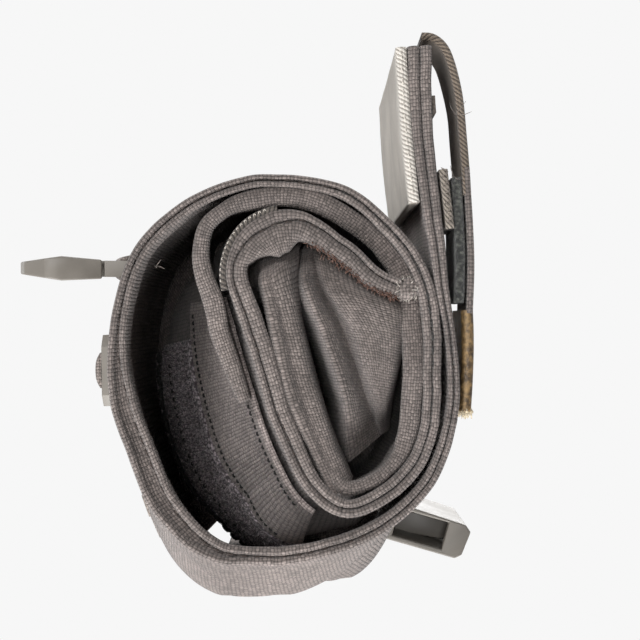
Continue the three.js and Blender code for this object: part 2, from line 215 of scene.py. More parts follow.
# The band, from under the tab down the right side, round the outside, in under itself at the top, down
# the right side again, and up the left of the inner roll to its stitched corner.
BAND = Course(
    [[22.7, 58.6], [23.7, 50.6], [23.9, 41.6], [22.2, 33], [18.4, 25.4], [11.2, 18.9], [1.8, 14.8],
     [-9, 13.2], [-18.9, 14.6], [-26.3, 21.6], [-31.2, 31.7], [-34.6, 41.6], [-36.2, 50.6], [-35.4, 59.6],
     [-32, 68.4], [-25.4, 75.2], [-17.1, 79.4], [-9, 80.9], [2.9, 79.2],
     [11.4, 73.2], [17, 66.4], [19.9, 57.8], [20.5, 47], [19.8, 36.6], [16.6, 28.9], [10.4, 23.6],
     [4.2, 21.9],
     [-1.6, 26.4], [-5.6, 34.4], [-9, 44.6], [-12.3, 55.2], [-14.8, 64.6], [-11.6, 71.4], [-3.8, 73.6],
     [4.2, 69.2], [9.6, 64.6], [14.6, 62.2]],
    [[22, 58.6], [22.6, 50.6], [22.8, 41.6], [21.4, 32.5], [18.6, 24], [12.5, 14.5], [3.5, 5.6],
     [-7.6, 0.6], [-19.5, 0.8], [-29, 8], [-35.6, 24], [-38.4, 38], [-38.8, 50], [-36.9, 60],
     [-33.2, 69], [-26, 76], [-17.5, 80.2], [-9, 81.6], [2.9, 79.6],
     [11.2, 73.4], [16.6, 66.4], [19, 57.8], [19.3, 47], [18.5, 35.5], [15.1, 27.2], [9.6, 18.6],
     [2.9, 13.5],
     [-13.2, 9.4], [-26.2, 19.4], [-32, 34.6], [-33, 49.6], [-29.2, 62], [-20, 71], [-9.6, 74.2],
     [4.2, 69], [9.6, 64.4], [14.4, 62]],
    flare=([25.5, 27.5], [34, 72]),
    ground=1.6,
    flat={5: (14.6, 11.2), 6: (7, 1.5)},
)
TOP, BOTTOM, END = 18, 26, 36  # knots where the outer, second and inner wraps meet

# The single layer that lines the roll: from the left core fold, round the V at its foot, up the right
# side and over the top, to the loose fold at the left.
LINER = Course(
    [[-10, 65.4], [-8.6, 61.4], [-6.3, 54.2], [-4.5, 48.8], [-2.9, 43.4], [-0.5, 35.6], [1.4, 29.9],
     [4.4, 25.8], [8.6, 26.4], [12.8, 28.9], [15.6, 33.4], [16.6, 40.5], [16.9, 47.4], [16.8, 54.4],
     [16.1, 61.4], [13, 67.6], [7.6, 72.8], [0.8, 76.8], [-6.3, 78.6], [-12.4, 77.9], [-17.2, 76.2],
     [-20.6, 73.2], [-21.6, 68.6], [-21, 64.4], [-19.3, 59.6], [-18, 53.6], [-15.8, 47.4], [-13.4, 41]],
    [[-15.5, 64.4], [-14.6, 61.4], [-12.8, 54.2], [-11, 48.8], [-9.2, 43.4], [-6.5, 35.6], [-3.5, 29.9],
     [0.6, 24.4], [6, 23.6], [10.8, 26.8], [14.2, 33.4], [15.4, 40.5], [15.7, 47.4], [15.7, 54.4],
     [15.4, 61.4], [12.8, 67.4], [7.6, 72.6], [0.8, 75.9], [-6.3, 77.7], [-12.4, 77.2], [-17.4, 75.6],
     [-21.2, 72.4], [-23, 68], [-23.2, 64.4], [-22, 59.6], [-20.4, 53.6], [-18.4, 47.4], [-16, 41]],
    flare=([0], [40]),
)

TAB = Course(
    [[18, 105.4], [18.6, 93.8], [19.7, 83], [21, 72.2], [22.3, 62], [23.7, 50.6], [23.9, 41.6], [22.2, 33]],
    [[18, 105.4], [18.6, 93.8], [19.7, 83], [21, 72.2], [22, 62], [22.6, 50.6], [22.8, 41.6], [21.4, 32.5]],
)
PEEL = 2.38  # the band's knot where the tab peels away, which is the tab's knot TAB_END
TAB_END = 6.38
LOOP = Course([[18.4, 107.3], [20.6, 107], [22.7, 104.8], [24.2, 100], [25.2, 95.2], [25.7, 89.6],
               [26.1, 84.6], [26.4, 80], [26.8, 73], [27, 66], [26.8, 58.4], [26.6, 54]])
CLOSURE = Course([[26.8, 57.8], [26.9, 51], [26.7, 44], [26.4, 39.4]])


# ---- cloth bodies


def swept(name, course, q, section, material):
    """A closed body along knots q of a course, its two ends filled by fans.

    section is the offsets from the course and the depths of its points, each (knots, section points)."""
    offset, depth = section
    n, m = depth.shape
    spread = np.broadcast_to(q[:, None], depth.shape)
    xz = course.at(spread, depth) + course.normal(spread, depth) * offset[..., None]
    grid = np.stack([xz[..., 0], depth, np.maximum(xz[..., 1], FLOOR_GAP)], -1)
    index = np.arange(n * m).reshape(n, m)
    a, b = index[:-1], index[1:]
    quads = np.stack([a, np.roll(a, -1, 1), np.roll(b, -1, 1), b], -1).reshape(-1, 4)
    start = np.stack([np.full(m, n * m), np.roll(index[0], -1), index[0]], -1)
    end = np.stack([np.full(m, n * m + 1), index[-1], np.roll(index[-1], -1)], -1)
    fans = np.concatenate([start, end])
    points = np.concatenate([grid.reshape(-1, 3), grid[0].mean(0)[None], grid[-1].mean(0)[None]])
    v = lengths(np.concatenate([grid, grid[:, :1]], 1).transpose(1, 0, 2)).T
    corner = np.stack([np.broadcast_to(course.along(q)[:, None], v.shape), v], -1)
    uv = np.stack([corner[:-1, :-1], corner[:-1, 1:], corner[1:, 1:], corner[1:, :-1]], 2).reshape(-1, 4, 2)
    if not outward(points, [*quads, *fans]):
        quads, fans, uv = quads[:, ::-1], fans[:, ::-1], uv[:, ::-1]
    uv = np.concatenate([uv.reshape(-1, 2), np.zeros((fans.size, 2))])
    return make_object(name, points, quads.tolist() + fans.tolist(), uv, material)


def roll_arc(outer, inner, edge, reach, turn, count=9):
    """Half an ellipse round a hem roll, from its outer side to its inner side.

    turn is 1 at the near rim and -1 at the far one."""
    angle = np.linspace(0, math.pi, count)[None, :]
    middle, half = (outer + inner) / 2, (outer - inner) / 2
    offset = middle[:, None] + half[:, None] * np.cos(angle)
    depth = edge[:, None] + turn * reach[:, None] * (1 - np.sin(angle))
    return offset, depth


def turned(part):
    """A part of a section run through the other way."""
    return part[0][:, ::-1], part[1][:, ::-1]


def joined(*parts):
    return np.concatenate([part[0] for part in parts], 1), np.concatenate([part[1] for part in parts], 1)


def hem_face(full, thin, near, far, steps, rows, thinning):
    """One face of a hemmed layer: full at both rims, and thin past the depths given by thinning."""
    reach = (far - near)[:, None] * 0.45  # neither rim's rows go past the middle of a narrow layer
    near_rows = near[:, None] + np.minimum(np.array(steps)[None, :], reach)
    far_rows = far[:, None] - np.minimum(np.array(steps)[None, ::-1], reach)
    first, last = near_rows[:, -1:], far_rows[:, :1]
    inside = np.linspace(0, 1, rows + 2)[1:-1]
    depth = np.concatenate([near_rows, first + (last - first) * inside[None, :], far_rows], 1)
    from_rim = np.minimum(depth - near[:, None], far[:, None] - depth)
    share = smoothstep(from_rim, *thinning)
    return full[:, None] * (1 - share) + thin[:, None] * share, depth


def hemmed_section(outer, inner, groove):
    """Section of the doubled band: two hem rolls with a groove between them, at each rim.

    outer, inner and groove are offsets at each knot."""
    body, seam, groove_depth = 0.45, 0.06, 2.4
    near = np.zeros_like(outer)
    far, reach = near + BAND_WIDTH, near + 1.1
    steps, hem = (1.6, 2.6, 4, 5.5, 7, 8, 9, 10.5, 13), (8.0, 10.5)
    inner_face = hem_face(inner, inner + (groove - inner) * body, near, far, steps, 11, hem)
    outer_face = hem_face(outer, outer - (outer - groove) * body, near, far, steps, 11, hem)
    return joined(
        roll_arc(outer, groove + seam, near, reach, 1),
        (groove[:, None], (near + groove_depth * reach)[:, None]),
        roll_arc(groove - seam, inner, near, reach, 1),
        inner_face,
        turned(roll_arc(groove - seam, inner, far, reach, -1, 7)),
        (groove[:, None], (far - groove_depth * reach)[:, None]),
        turned(roll_arc(outer, groove + seam, far, reach, -1, 7)),
        turned(outer_face),
    )


def single_section(half, near, far):
    """Section of a single layer with one rolled hem at each rim; half is half its thickness."""
    body = 0.35
    reach = np.minimum(1.3, (far - near) * 0.2)
    steps, hem = (1.8, 3, 4.5, 6, 7.5, 9, 11), (2.8, 7.0)
    inner_face = hem_face(-half, -half * body, near, far, steps, 9, hem)
    outer_face = hem_face(half, half * body, near, far, steps, 9, hem)
    return joined(roll_arc(half, -half, near, reach, 1, 13), inner_face,
                  turned(roll_arc(half, -half, far, reach, -1, 9)), turned(outer_face))


def flat_section(outer, inner, near, far, rows):
    """Section of a flat tape with softly rounded selvedges."""
    half = (outer - inner) / 2
    inside = np.linspace(0, 1, rows + 2)[1:-1][None, :]
    depth = near[:, None] + half[:, None] + (far - near - 2 * half)[:, None] * inside
    ones = np.ones_like(depth)
    front = roll_arc(outer, inner, near, half * 0.8, 1, 7)
    back = roll_arc(outer, inner, far, half * 0.8, -1, 7)
    faces = (inner[:, None] * ones, depth), (outer[:, None] * ones, depth)
    return joined(front, faces[0], turned(back), turned(faces[1]))


def worn(q, course, offset, depth, seed, swell=0.25, pucker=0.12, wander=0.3):
    """Soft irregularity: the layers swell, the hem dips at its stitches, and the rims wander in depth."""
    stitch_pitch, seam_depth = 2.8, 5.5
    u = np.broadcast_to(course.along(q)[:, None], depth.shape)
    bulge = noise2(u, depth, seed, 9) * swell + noise2(u, depth, seed + 1, 3.2) * swell * 0.35
    stitch = np.cos(u * 2 * math.pi / stitch_pitch)
    at_seam = np.exp(-((depth - depth.min(1, keepdims=True) - seam_depth) ** 2) / 3)
    middle = (offset.max(1, keepdims=True) + offset.min(1, keepdims=True)) / 2
    dip = np.sign(offset - middle) * at_seam * pucker * (0.5 + 0.5 * stitch)
    return offset + bulge - dip, depth + noise2(u, depth * 0, seed + 2, 14) * wander


def hem_outer(q):
    return np.interp(q, [0, 5, 26, 30, 32.5, 33.8, 36], [1, 1.6, 1.6, 1.9, 2.5, 1.3, 1.3])


def hem_width(q):
    """The doubled band's thickness at its hems, with a bulge where it crumples beside the core."""
    return np.interp(
        q,
        [0, 4, 7, 10, 14, 17, 19, 21, 26, 28, 30, 31.2, 31.8, 32.3, 32.7, 33.1, 33.6, 36],
        [2, 2.6, 3.5, 3.2, 2.8, 2.3, 2.7, 3.3, 3.3, 4, 4.2, 3.8, 6.6, 8.2, 7.6, 5.2, 4.2, 3.6],
    )


def groove_share(q):
    return np.interp(q, [0, 26, 29, 31, 33, 36], [0.5, 0.5, 0.36, 0.36, 0.3, 0.34])


def band_piece(name, start, end, nodes, step=0.7):
    q = BAND.knots(start, end, step)
    outer = hem_outer(q)
    width = hem_width(q)
    groove = outer - width * groove_share(q)
    offset, depth = hemmed_section(outer, outer - width, groove)
    # the outer roll of the hem is roomy at the lower left
    roomy = np.interp(q, [7.4, 8.4, 9.4, 11, 12.2, 13.2], [0, 1.5, 2.1, 1.8, 0.3, 0])[:, None]
    outside = offset > groove[:, None]
    offset = offset + outside * roomy * (1 - smoothstep(depth, 7, 19))
    obj = swept(name, BAND, q, worn(q, BAND, offset, depth, 3), CLOTH)
    finish_piece(obj, "root", nodes)
    cloth_length(BAND, start, end, BAND_WIDTH / 2)


def liner_piece():
    q = LINER.knots(0, LINER.last, 0.7)
    half = np.interp(q, [0, 2, 6, 7.5, 9, 10.5, 13, 15, 17, 19, 20, 22, 24, 26, 27],
                     [1.2, 1.4, 1.6, 1.2, 1.2, 1.9, 1.9, 1.9, 2.0, 1.9, 1.3, 1.5, 1.9, 1.7, 1.2])
    near = np.interp(q, [0, 5, 6.5, 12, 13.5, 15.5, 17, 24, 26, 27],
                     [7, 6, 1, 0.8, 3.4, 3.4, 0.6, 0.6, 2, 4])
    far = np.interp(q, [0, 18, 20, 22, 23.5, 27], [60, 60, 44, 24, 11, 11])
    section = single_section(half, near, far)
    obj = swept("liner_layer", LINER, q, worn(q, LINER, *section, 40, swell=0.35, pucker=0.05), LINING)
    nodes = ["core_fold_left", "core_right_layer", "lining_fold", "lining_top"]
    finish_piece(obj, "root", nodes)
    # the layer is deep up to its top knot, and narrow along the loose fold past it
    top, deep, narrow = 18, 0.053, 0.022
    long, short = cloth_length(LINER, 0, top, 30), cloth_length(LINER, top, LINER.last, 12)


# ---- patches


def cells(grid):
    """What a grid holds at the four corners of each of its cells."""
    made = np.stack([grid[:-1, :-1], grid[1:, :-1], grid[1:, 1:], grid[:-1, 1:]], 2)
    return made.reshape(-1, *made.shape[2:])


def patch(name, controls, nodes=(), counts=(60, 44), seed=0, swell=0.2):
    """A closed sheet of lining cloth through a grid of control points (rows of [x, depth, z])."""
    thickness = 0.8
    c = np.array(controls, float)
    rows, cols = c.shape[:2]
    rim = np.array([0, 0.004, 0.012])
    s, t = (np.concatenate([rim, np.linspace(0.03, 0.97, count), 1 - rim[::-1]]) for count in counts)
    down = catmull(c.reshape(rows, -1), s * (rows - 1)).reshape(len(s), cols, 3)
    surface = catmull(down.transpose(1, 0, 2).reshape(cols, -1), t * (cols - 1))
    surface = surface.reshape(len(t), len(s), 3).transpose(1, 0, 2)
    du, dv = np.gradient(surface, axis=0), np.gradient(surface, axis=1)
    normal = unit(np.cross(du, dv))
    u, v = lengths(surface[:, len(t) // 2]), lengths(surface[len(s) // 2])
    uu, vv = np.meshgrid(u, v, indexing="ij")
    surface = surface + normal * (noise2(uu, vv, seed, 5) * swell)[..., None]
    edge = np.array([0, 0.75, 1])
    taper_s, taper_t = (np.concatenate([edge, np.ones(count), edge[::-1]]) for count in counts)
    half = thickness / 2 * np.minimum(taper_s[:, None], taper_t[None, :])
    top, bottom = surface + normal * half[..., None], surface - normal * half[..., None]
    n, m = top.shape[:2]
    index = np.arange(n * m).reshape(n, m)
    low = index + n * m
    for border in (np.s_[0, :], np.s_[-1, :], np.s_[:, 0], np.s_[:, -1]):
        low[border] = index[border]
    corners = cells(np.stack([uu, vv], -1))
    points = np.concatenate([top.reshape(-1, 3), bottom.reshape(-1, 3)])
    faces = np.concatenate([cells(index), cells(low)[:, ::-1]])
    uv = np.concatenate([corners, corners[:, ::-1]])
    used, back = np.unique(faces, return_inverse=True)
    points, faces = points[used], back.reshape(faces.shape)
    if not outward(points, faces):
        faces, uv = faces[:, ::-1], uv[:, ::-1]
    obj = make_object(name, points, faces.tolist(), uv.reshape(-1, 2), LINING)
    finish_piece(obj, "root", nodes)
    area = float(np.linalg.norm(np.cross(du[1:-1, 1:-1], dv[1:-1, 1:-1]), axis=-1).sum()) * MM**2
    length, width = u[-1] * MM, v[-1] * MM
    width *= max(1.0, area / (length * width))


# ---- small threads


def tubes(name, lines, radius, material, body, sides=5):
    """One mesh of thin closed tubes, each along its own line of points."""
    points, faces, uv = [], [], []
    count = 0
    angle = np.arange(sides) * 2 * math.pi / sides
    helper = np.array([0.31, 0.52, 0.79])  # a direction that no line runs along
    for line in lines:
        p = np.asarray(line, float)
        n = len(p)
        heading = unit(np.gradient(p, axis=0))
        side = unit(np.cross(heading, helper))
        other = np.cross(heading, side)
        taper = np.ones(n)
        taper[[0, -1]] = 0.55
        ring = side[:, None] * np.cos(angle)[None, :, None] + other[:, None] * np.sin(angle)[None, :, None]
        index = count + np.arange(n * sides).reshape(n, sides)
        points.append((p[:, None] + ring * (radius * taper)[:, None, None]).reshape(-1, 3))
        a, b = index[:-1], index[1:]
        quads = np.stack([a, b, np.roll(b, -1, 1), np.roll(a, -1, 1)], -1).reshape(-1, 4)
        faces += quads.tolist() + [index[0].tolist(), index[-1][::-1].tolist()]
        length = lengths(p)
        for i in range(n - 1):
            for j in range(sides):
                uv += [(length[i], j), (length[i + 1], j), (length[i + 1], j + 1), (length[i], j + 1)]
        uv += [(0, 0)] * (2 * sides)
        count += n * sides
    finish_piece(make_object(name, np.concatenate(points), faces, uv, material), body)


def stitch_lines(points, normals, length, gap, lift=0.16, sink=0.25):
    """Lines of the visible stitches of a seam that follows points; each dips at both ends."""
    along = lengths(points)
    lines = []
    arch = np.array([-sink, lift * 0.6, lift, lift, lift * 0.6, -sink])
    start = gap
    while start + length < along[-1]:
        at = start + length * np.linspace(0, 1, len(arch))
        spot = np.stack([np.interp(at, along, row) for row in points.T], 1)
        up = np.stack([np.interp(at, along, row) for row in normals.T], 1)
        lines.append(spot + up * arch[:, None])
        start += length + gap
    return lines


# ---- materials


def linear(rgb):
    """An sRGB colour of 0 to 255 as linear values."""
    c = np.array(rgb, float) / 255
    return tuple(np.where(c <= 0.04045, c / 12.92, ((c + 0.055) / 1.055) ** 2.4)) + (1.0,)


class Graph:
    """A material whose nodes are made by calls that read like sums. An input is a number or a socket."""

    def __init__(self, name):
        self.material = bpy.data.materials.new(name)
        self.material.use_nodes = True
        self.tree = self.material.node_tree
        self.tree.nodes.clear()
        self.output = self.tree.nodes.new("ShaderNodeOutputMaterial")

    def node(self, kind, inputs=(), **settings):
        """The outputs of a new node with these inputs, by name or place, and settings."""
        made = self.tree.nodes.new(kind)
        for key, value in settings.items():
            setattr(made, key, value)
        for key, value in dict(inputs).items():
            self.feed(made.inputs[key], value)
        return made.outputs

    def feed(self, socket, value):
        if isinstance(value, bpy.types.NodeSocket):
            self.tree.links.new(value, socket)
        elif socket.type == "VECTOR" and hasattr(value, "__len__"):
            socket.default_value = value[:3]
        else:
            socket.default_value = value

    def sum(self, operation, a, b=0.0, c=0.0):
        return self.node("ShaderNodeMath", {0: a, 1: b, 2: c}, operation=operation)[0]

    def times(self, a, b):
        return self.sum("MULTIPLY", a, b)

    def mix(self, share, a, b):
        """A colour from a to b."""
        return self.node("ShaderNodeMix", {"Factor": share, 6: a, 7: b}, data_type="RGBA")[2]

    def blend(self, share, a, b):
        """A number from a to b."""
        return self.node("ShaderNodeMix", {"Factor": share, 2: a, 3: b}, data_type="FLOAT")[0]

    def peak(self, wave):
        """A straight rise and fall over a wave from 0 to 1."""
        return self.sum("SUBTRACT", 1.0, self.sum("ABSOLUTE", self.sum("MULTIPLY_ADD", wave, 2.0, -1.0)))

    def ramp(self, value, low, high, to_low=0.0, to_high=1.0):
        inputs = enumerate((value, low, high, to_low, to_high))
        return self.node("ShaderNodeMapRange", inputs, interpolation_type="SMOOTHSTEP")[0]

    def scaled(self, colour, amount):
        return self.node("ShaderNodeVectorMath", {0: colour, "Scale": amount}, operation="SCALE")[0]

    def cloth_uv(self):
        spot = self.node("ShaderNodeUVMap", uv_map="cloth")[0]
        split = self.node("ShaderNodeSeparateXYZ", {0: spot})
        return split[0], split[1]

    def place(self):
        return self.node("ShaderNodeTexCoord")["Object"]

    def place_noise(self, scale, detail=3.0, rough=0.55):
        """Noise by place in the object, with scale in features per metre."""
        inputs = {"Vector": self.place(), "Scale": scale, "Detail": detail, "Roughness": rough}
        return self.node("ShaderNodeTexNoise", inputs)["Fac"]

    def surface(self, colour, roughness, height, strength, distance, sheen, metallic=0.0, specular=0.3):
        """The finished material, with bumps of height times distance metres."""
        bump = self.node("ShaderNodeBump", {"Strength": strength, "Distance": distance, "Height": height})
        shader = self.node("ShaderNodeBsdfPrincipled", {
            "Base Color": colour, "Roughness": roughness, "Specular IOR Level": specular,
            "Metallic": metallic, "Sheen Weight": sheen, "Sheen Roughness": 0.6, "Normal": bump[0],
        })
        self.feed(self.output.inputs["Surface"], shader[0])
        return self.material


def plain_weave(g, pitch_u, pitch_v):
    """(height, yarn tint) of a plain weave over the cloth uv, which is in millimetres."""
    wander = 0.42
    u, v = g.cloth_uv()
    drift = g.sum("MULTIPLY_ADD", g.place_noise(420), wander * 2, -wander)
    u = g.sum("ADD", g.sum("DIVIDE", u, pitch_u), drift)
    v = g.sum("SUBTRACT", g.sum("DIVIDE", v, pitch_v), drift)
    cell_u, cell_v = g.sum("FLOOR", u), g.sum("FLOOR", v)
    a = g.sum("SUBTRACT", g.sum("SUBTRACT", u, cell_u), 0.5)
    b = g.sum("SUBTRACT", g.sum("SUBTRACT", v, cell_v), 0.5)
    odd = g.sum("PINGPONG", g.sum("ADD", cell_u, cell_v), 1.0)
    across, along = g.blend(odd, a, b), g.blend(odd, b, a)
    side = g.times(across, 1.78)
    dome = g.sum("SQRT", g.sum("MAXIMUM", g.sum("SUBTRACT", 1.0, g.times(side, side)), 0.0))
    dip = g.sum("SUBTRACT", 1.0, g.times(g.times(along, along), 2.7))
    height = g.times(g.times(dome, dip), g.blend(odd, 1.0, 0.72))
    cell = g.node("ShaderNodeCombineXYZ", {0: cell_u, 1: cell_v})[0]
    tint = g.node("ShaderNodeTexWhiteNoise", {"Vector": cell}, noise_dimensions="2D")
    return height, tint["Value"]


def cloth_material(name, light, dark, pitch_u, pitch_v, fade=0.35):
    g = Graph(name)
    height, tint = plain_weave(g, pitch_u, pitch_v)
    fibre = g.place_noise(5200, 2, 0.7)
    height = g.sum("ADD", height, g.times(fibre, 0.25))
    # colour runs by weave height from dark in the low gaps to light on the yarn crowns: light is the yarn's
    # own colour, dark is painted shade in the gaps between yarns
    colour = g.mix(g.ramp(height, 0.0, 1.0), linear(dark), linear(light))
    patchy = g.ramp(g.place_noise(70, 4), 0.3, 0.75, 1 - fade, 1.0)
    yarn = g.sum("MULTIPLY_ADD", tint, 0.55, 0.68)
    colour = g.scaled(colour, g.times(patchy, yarn))
    rough = g.ramp(fibre, 0.2, 0.8, 0.78, 0.95)
    return g.surface(colour, rough, height, 0.9, 0.00028, 0.15)


def ribbed_material(name, light, dark, pitch, slant):
    """A tape with leaning ribs across it."""
    g = Graph(name)
    u, v = g.cloth_uv()
    lean = g.sum("MULTIPLY_ADD", v, slant, u)
    rib = g.sum("POWER", g.peak(g.sum("FRACT", g.sum("DIVIDE", lean, pitch))), 0.6)
    bead = g.peak(g.sum("FRACT", g.sum("DIVIDE", v, pitch * 0.8)))
    height = g.times(rib, g.sum("MULTIPLY_ADD", bead, 0.35, 0.65))
    height = g.sum("ADD", height, g.times(g.place_noise(5200, 2, 0.7), 0.2))
    # colour runs by rib height: light is the tape's own colour, dark is painted shade in the hollows
    # between the ribs
    colour = g.mix(g.ramp(height, 0.1, 0.95), linear(dark), linear(light))
    patchy = g.ramp(g.place_noise(90), 0.25, 0.8, 0.75, 1.0)
    return g.surface(g.scaled(colour, patchy), 0.85, height, 0.9, 0.0003, 0.15)


def fuzzy_material(name, light, dark, scale):
    """Pile or hook tape: crowded small curls."""
    g = Graph(name)
    cells = g.node("ShaderNodeTexVoronoi", {"Vector": g.place(), "Scale": scale}, feature="SMOOTH_F1")
    tangle = g.place_noise(scale * 1.7, 4, 0.75)
    height = g.sum("ADD", g.sum("SUBTRACT", 1.0, cells["Distance"]), tangle)
    # colour runs by curl height: light is the tape's own colour, dark is painted shade in the hollows
    # between the curls
    colour = g.mix(g.ramp(height, 0.9, 1.5), linear(dark), linear(light))
    patchy = g.ramp(g.place_noise(150), 0.25, 0.8, 0.7, 1.0)
    return g.surface(g.scaled(colour, patchy), 0.95, height, 1.0, 0.0004, 0.3)


def thread_material(name, rgb):
    g = Graph(name)
    u, v = g.cloth_uv()
    twist = g.sum("SINE", g.times(g.sum("ADD", g.times(u, 2.4), v), 3.0))
    colour = g.scaled(linear(rgb), g.ramp(twist, -1.0, 1.0, 0.7, 1.05))
    return g.surface(colour, 0.7, twist, 0.5, 0.00008, 0.2)


def plastic_material(name, rgb):
    """Moulded nylon with a fine grain, a little cloudy."""
    g = Graph(name)
    grain = g.place_noise(4200, 2, 0.6)
    cloud = g.place_noise(120, 4)
    colour = g.scaled(linear(rgb), g.ramp(cloud, 0.25, 0.8, 0.88, 1.06))
    rough = g.ramp(cloud, 0.2, 0.8, 0.36, 0.54)
    return g.surface(colour, rough, grain, 0.25, 0.00006, 0.0, specular=0.45)


def film_material(name):
    """The golden closure strip: blotched, and a little glossy."""
    g = Graph(name)
    blotch = g.place_noise(900, 4, 0.65)
    colour = g.mix(g.ramp(blotch, 0.35, 0.72), linear((60, 46, 29)), linear((142, 116, 78)))
    rough = g.ramp(blotch, 0.3, 0.75, 0.28, 0.6)
    return g.surface(colour, rough, blotch, 0.8, 0.0003, 0.0, metallic=0.25, specular=0.5)


# The second colour of each cloth and tape below is painted shade for the hollows between its yarns, ribs or
# curls.
CLOTH = cloth_material("band cloth", (140, 129, 124), (26, 22, 21), 0.68, 0.6)
LINING = cloth_material("lining cloth", (138, 127, 122), (26, 22, 21), 0.6, 0.52)
WEBBING = cloth_material("webbing", (148, 137, 131), (46, 41, 38), 0.6, 0.66, fade=0.2)
# the load strap's webbing, made much paler than WEBBING as painted light, since little lamp light reaches
# it inside the roll
WEBBING_PAINTED_LIGHT = cloth_material("webbing with painted light", (196, 182, 177), (38, 33, 31), 0.55, 0.62, fade=0.2)
# the pile is pale in its own right, and its light colour is raised further as painted light, since little
# lamp light reaches the pile tapes inside the roll
PILE_PAINTED_LIGHT = fuzzy_material("pile tape", (246, 230, 235), (72, 61, 64), 1900)
EDGE_TAPE = ribbed_material("edge tape", (112, 104, 97), (24, 21, 20), 0.7, 0.4)
FACING = ribbed_material("facing tape", (232, 226, 217), (150, 142, 133), 0.8, 0.5)
RIBBON = ribbed_material("ribbon", (134, 120, 106), (46, 39, 33), 0.85, 0.9)
KNIT = ribbed_material("knit tape", (178, 167, 154), (46, 40, 36), 1.0, 1.2)
HOOKS = fuzzy_material("hook tape", (96, 98, 90), (20, 21, 19), 1500)
FILM = film_material("closure film")
THREAD = thread_material("thread", (128, 118, 110))
DARK_THREAD = thread_material("dark thread", (58, 46, 40))
PALE_THREAD = thread_material("pale thread", (206, 198, 188))
RUST_THREAD = thread_material("rust thread", (92, 56, 38))
CREAM_THREAD = thread_material("cream thread", (206, 190, 160))
BLACK_THREAD = thread_material("black thread", (26, 22, 20))
NYLON = plastic_material("buckle nylon", (112, 107, 100))


# ---- the band and its linings


def make_band():
    band_piece("outer_wrap_cloth", PEEL, TOP, ["band_outer_base", "band_outer_crest"])
    band_piece("second_wrap_cloth", TOP, BOTTOM, ["band_second_wrap"])
    band_piece("inner_wrap_cloth", BOTTOM, END, ["band_inner_rise", "band_inner_crest"], step=0.5)


ACROSS = np.linspace(0, 1, 5)  # the steps across a tuck


def creases(lines):
    """A patch's control points from its creases, each a line of a few points from top to foot."""
    steps = np.linspace(0, 1, 9)
    return np.stack([catmull(line, steps * (len(line) - 1)) for line in lines], axis=1)


def make_core():
    liner_piece()
    patch("core_second_fold_cloth", creases([
        [[-16.6, 18, 65.6], [-15, 17, 62.4], [-14.6, 20, 57], [-12, 18, 40.6], [-2, 14, 23.4]],
        [[-14.5, 15, 66.2], [-13.2, 17, 62.6], [-12.6, 24, 57.4], [-9.6, 24, 41], [-0.8, 15, 23.6]],
        [[-12.2, 12, 66.8], [-12.2, 15, 63.7], [-11.2, 27, 57.6], [-7.4, 28, 41.4], [0.6, 16, 23.8]],
        [[-10.8, 9, 67.6], [-10.8, 3.4, 63.5], [-9.6, 3, 57.8], [-6, 3, 41.4], [2.2, 3.2, 24.2]],
        [[-8.4, 8, 68.6], [-8.9, 2.2, 64], [-7.3, 2, 57.8], [-3.1, 2.2, 41.7], [3.6, 2.6, 24.8]],
        [[-5.6, 9, 69.8], [-6.4, 3, 65.8], [-4.7, 3.2, 58], [-0.4, 3, 41.8], [5.2, 3.6, 26]],
        [[-3.4, 12, 70.5], [-4.1, 7, 67.5], [-3.9, 9, 58.2], [0.2, 9, 41.7], [5.8, 9, 26.4]],
    ]), seed=6, counts=(90, 70))
    patch("core_folds_cloth", creases([
        [[-3.5, 20, 68.4], [-6.3, 36, 63.3], [-3.7, 36, 54.6], [1.2, 36, 40.7], [2.2, 26, 26.3]],
        [[-3.4, 15, 69.3], [-5, 17, 62.9], [-2.1, 18, 54.7], [2.4, 19, 41.4], [3.5, 18, 27.5]],
        [[-3, 13, 70], [-3.3, 4, 62.8], [-0.2, 3.2, 54.5], [4, 4.2, 41.7], [5.3, 14, 29.1]],
        [[-2.4, 12, 70.5], [-1.6, 4, 62.9], [1.8, 2.8, 54.4], [6, 3.8, 41.8], [7.9, 13, 31.4]],
        [[-1.7, 11, 71.8], [0, 7, 62.8], [4.2, 6.5, 54.3], [8.5, 8, 41.5], [11.2, 15, 33.9]],
        [[-0.6, 11, 71], [1.6, 4, 61.8], [6.6, 3.2, 53.6], [9.9, 5.5, 41.5], [11.8, 14, 34.6]],
        [[4.7, 10, 66.8], [5.8, 3, 61.1], [10, 2.6, 53.1], [11.2, 5.2, 41.3], [12.1, 14, 34.9]],
        [[12, 10, 60.5], [14.3, 4, 58.4], [14.3, 4, 52], [12.4, 7, 41], [12.6, 15, 35.1]],
        [[16.1, 16, 59.8], [17.6, 16, 58.7], [16.2, 16, 51.8], [13.6, 16, 40.5], [13.2, 20, 34.9]],
    ]), ["core_fold_middle", "core_pleat"], seed=7, counts=(90, 96))
    spans = [(-12, 0, 15), (-20.5, 6.5, 21), (-24, 12.4, 29), (-27, 15, 38), (-28.2, 15.6, 48),
             (-26.4, 14.4, 57), (-22.5, 6.6, 64), (-16, -2, 69.4)]
    rows = [[[left + (right - left) * t, 62.8, z] for t in ACROSS] for left, right, z in spans]
    patch("core_tuck_cloth", rows, ["core_tuck"], seed=12, swell=0.5)
    rows = tuck_rows((8.8, 18.2), (27.5, 34), 15, (0.4, 1.2), (73.4, 71.9))
    patch("crescent_tuck_cloth", rows, ["crescent_tuck"], seed=13, swell=0.5)
    rows = tuck_rows((5, 7.9), (25.4, 27), 7, (0.6, 1.0), (72.6, 72.6))
    patch("base_tuck_cloth", rows, seed=14, swell=0.3)


